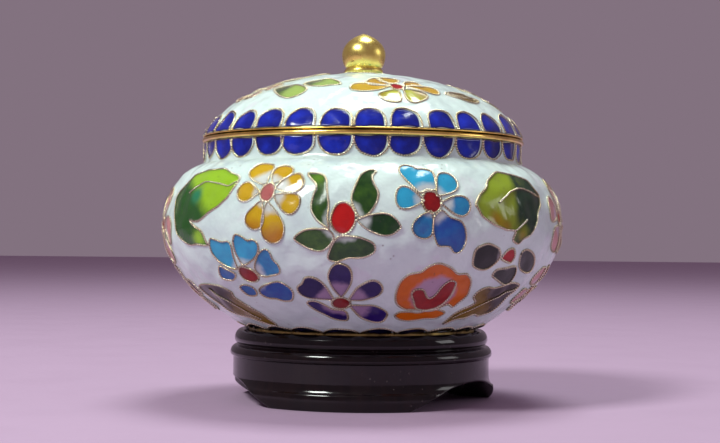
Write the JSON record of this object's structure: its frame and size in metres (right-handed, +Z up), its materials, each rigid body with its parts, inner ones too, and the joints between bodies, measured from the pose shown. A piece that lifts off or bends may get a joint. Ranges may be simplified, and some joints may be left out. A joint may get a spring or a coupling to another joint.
{
  "type": "cloisonne enamel box",
  "caption": "Round covered box in cloisonne enamel: squat bowl, domed lift-off lid with a bud-shaped knob, and a lacquered wooden stand.",
  "frame": {"origin": "centre of the stand's underside, on the surface the box stands on", "axes": "+Z up along the turning axis; -Y is the front, +X to the right seen from the front"},
  "size_m": [0.11, 0.11, 0.1016],
  "materials": {
    "enamel": "glossy vitreous enamel on copper, white ground with coloured cells",
    "gilt_brass": "gilt, satin to polished",
    "lacquered_wood": "black lacquer, high gloss"
  },
  "bodies": {
    "root": {"stand": "lacquered_wood", "bowl_foot": "gilt_brass", "bowl": "enamel", "bowl_rim": "gilt_brass", "lid_rim": "gilt_brass", "lid": "enamel", "knob": "gilt_brass"}
  },
  "joints": []
}
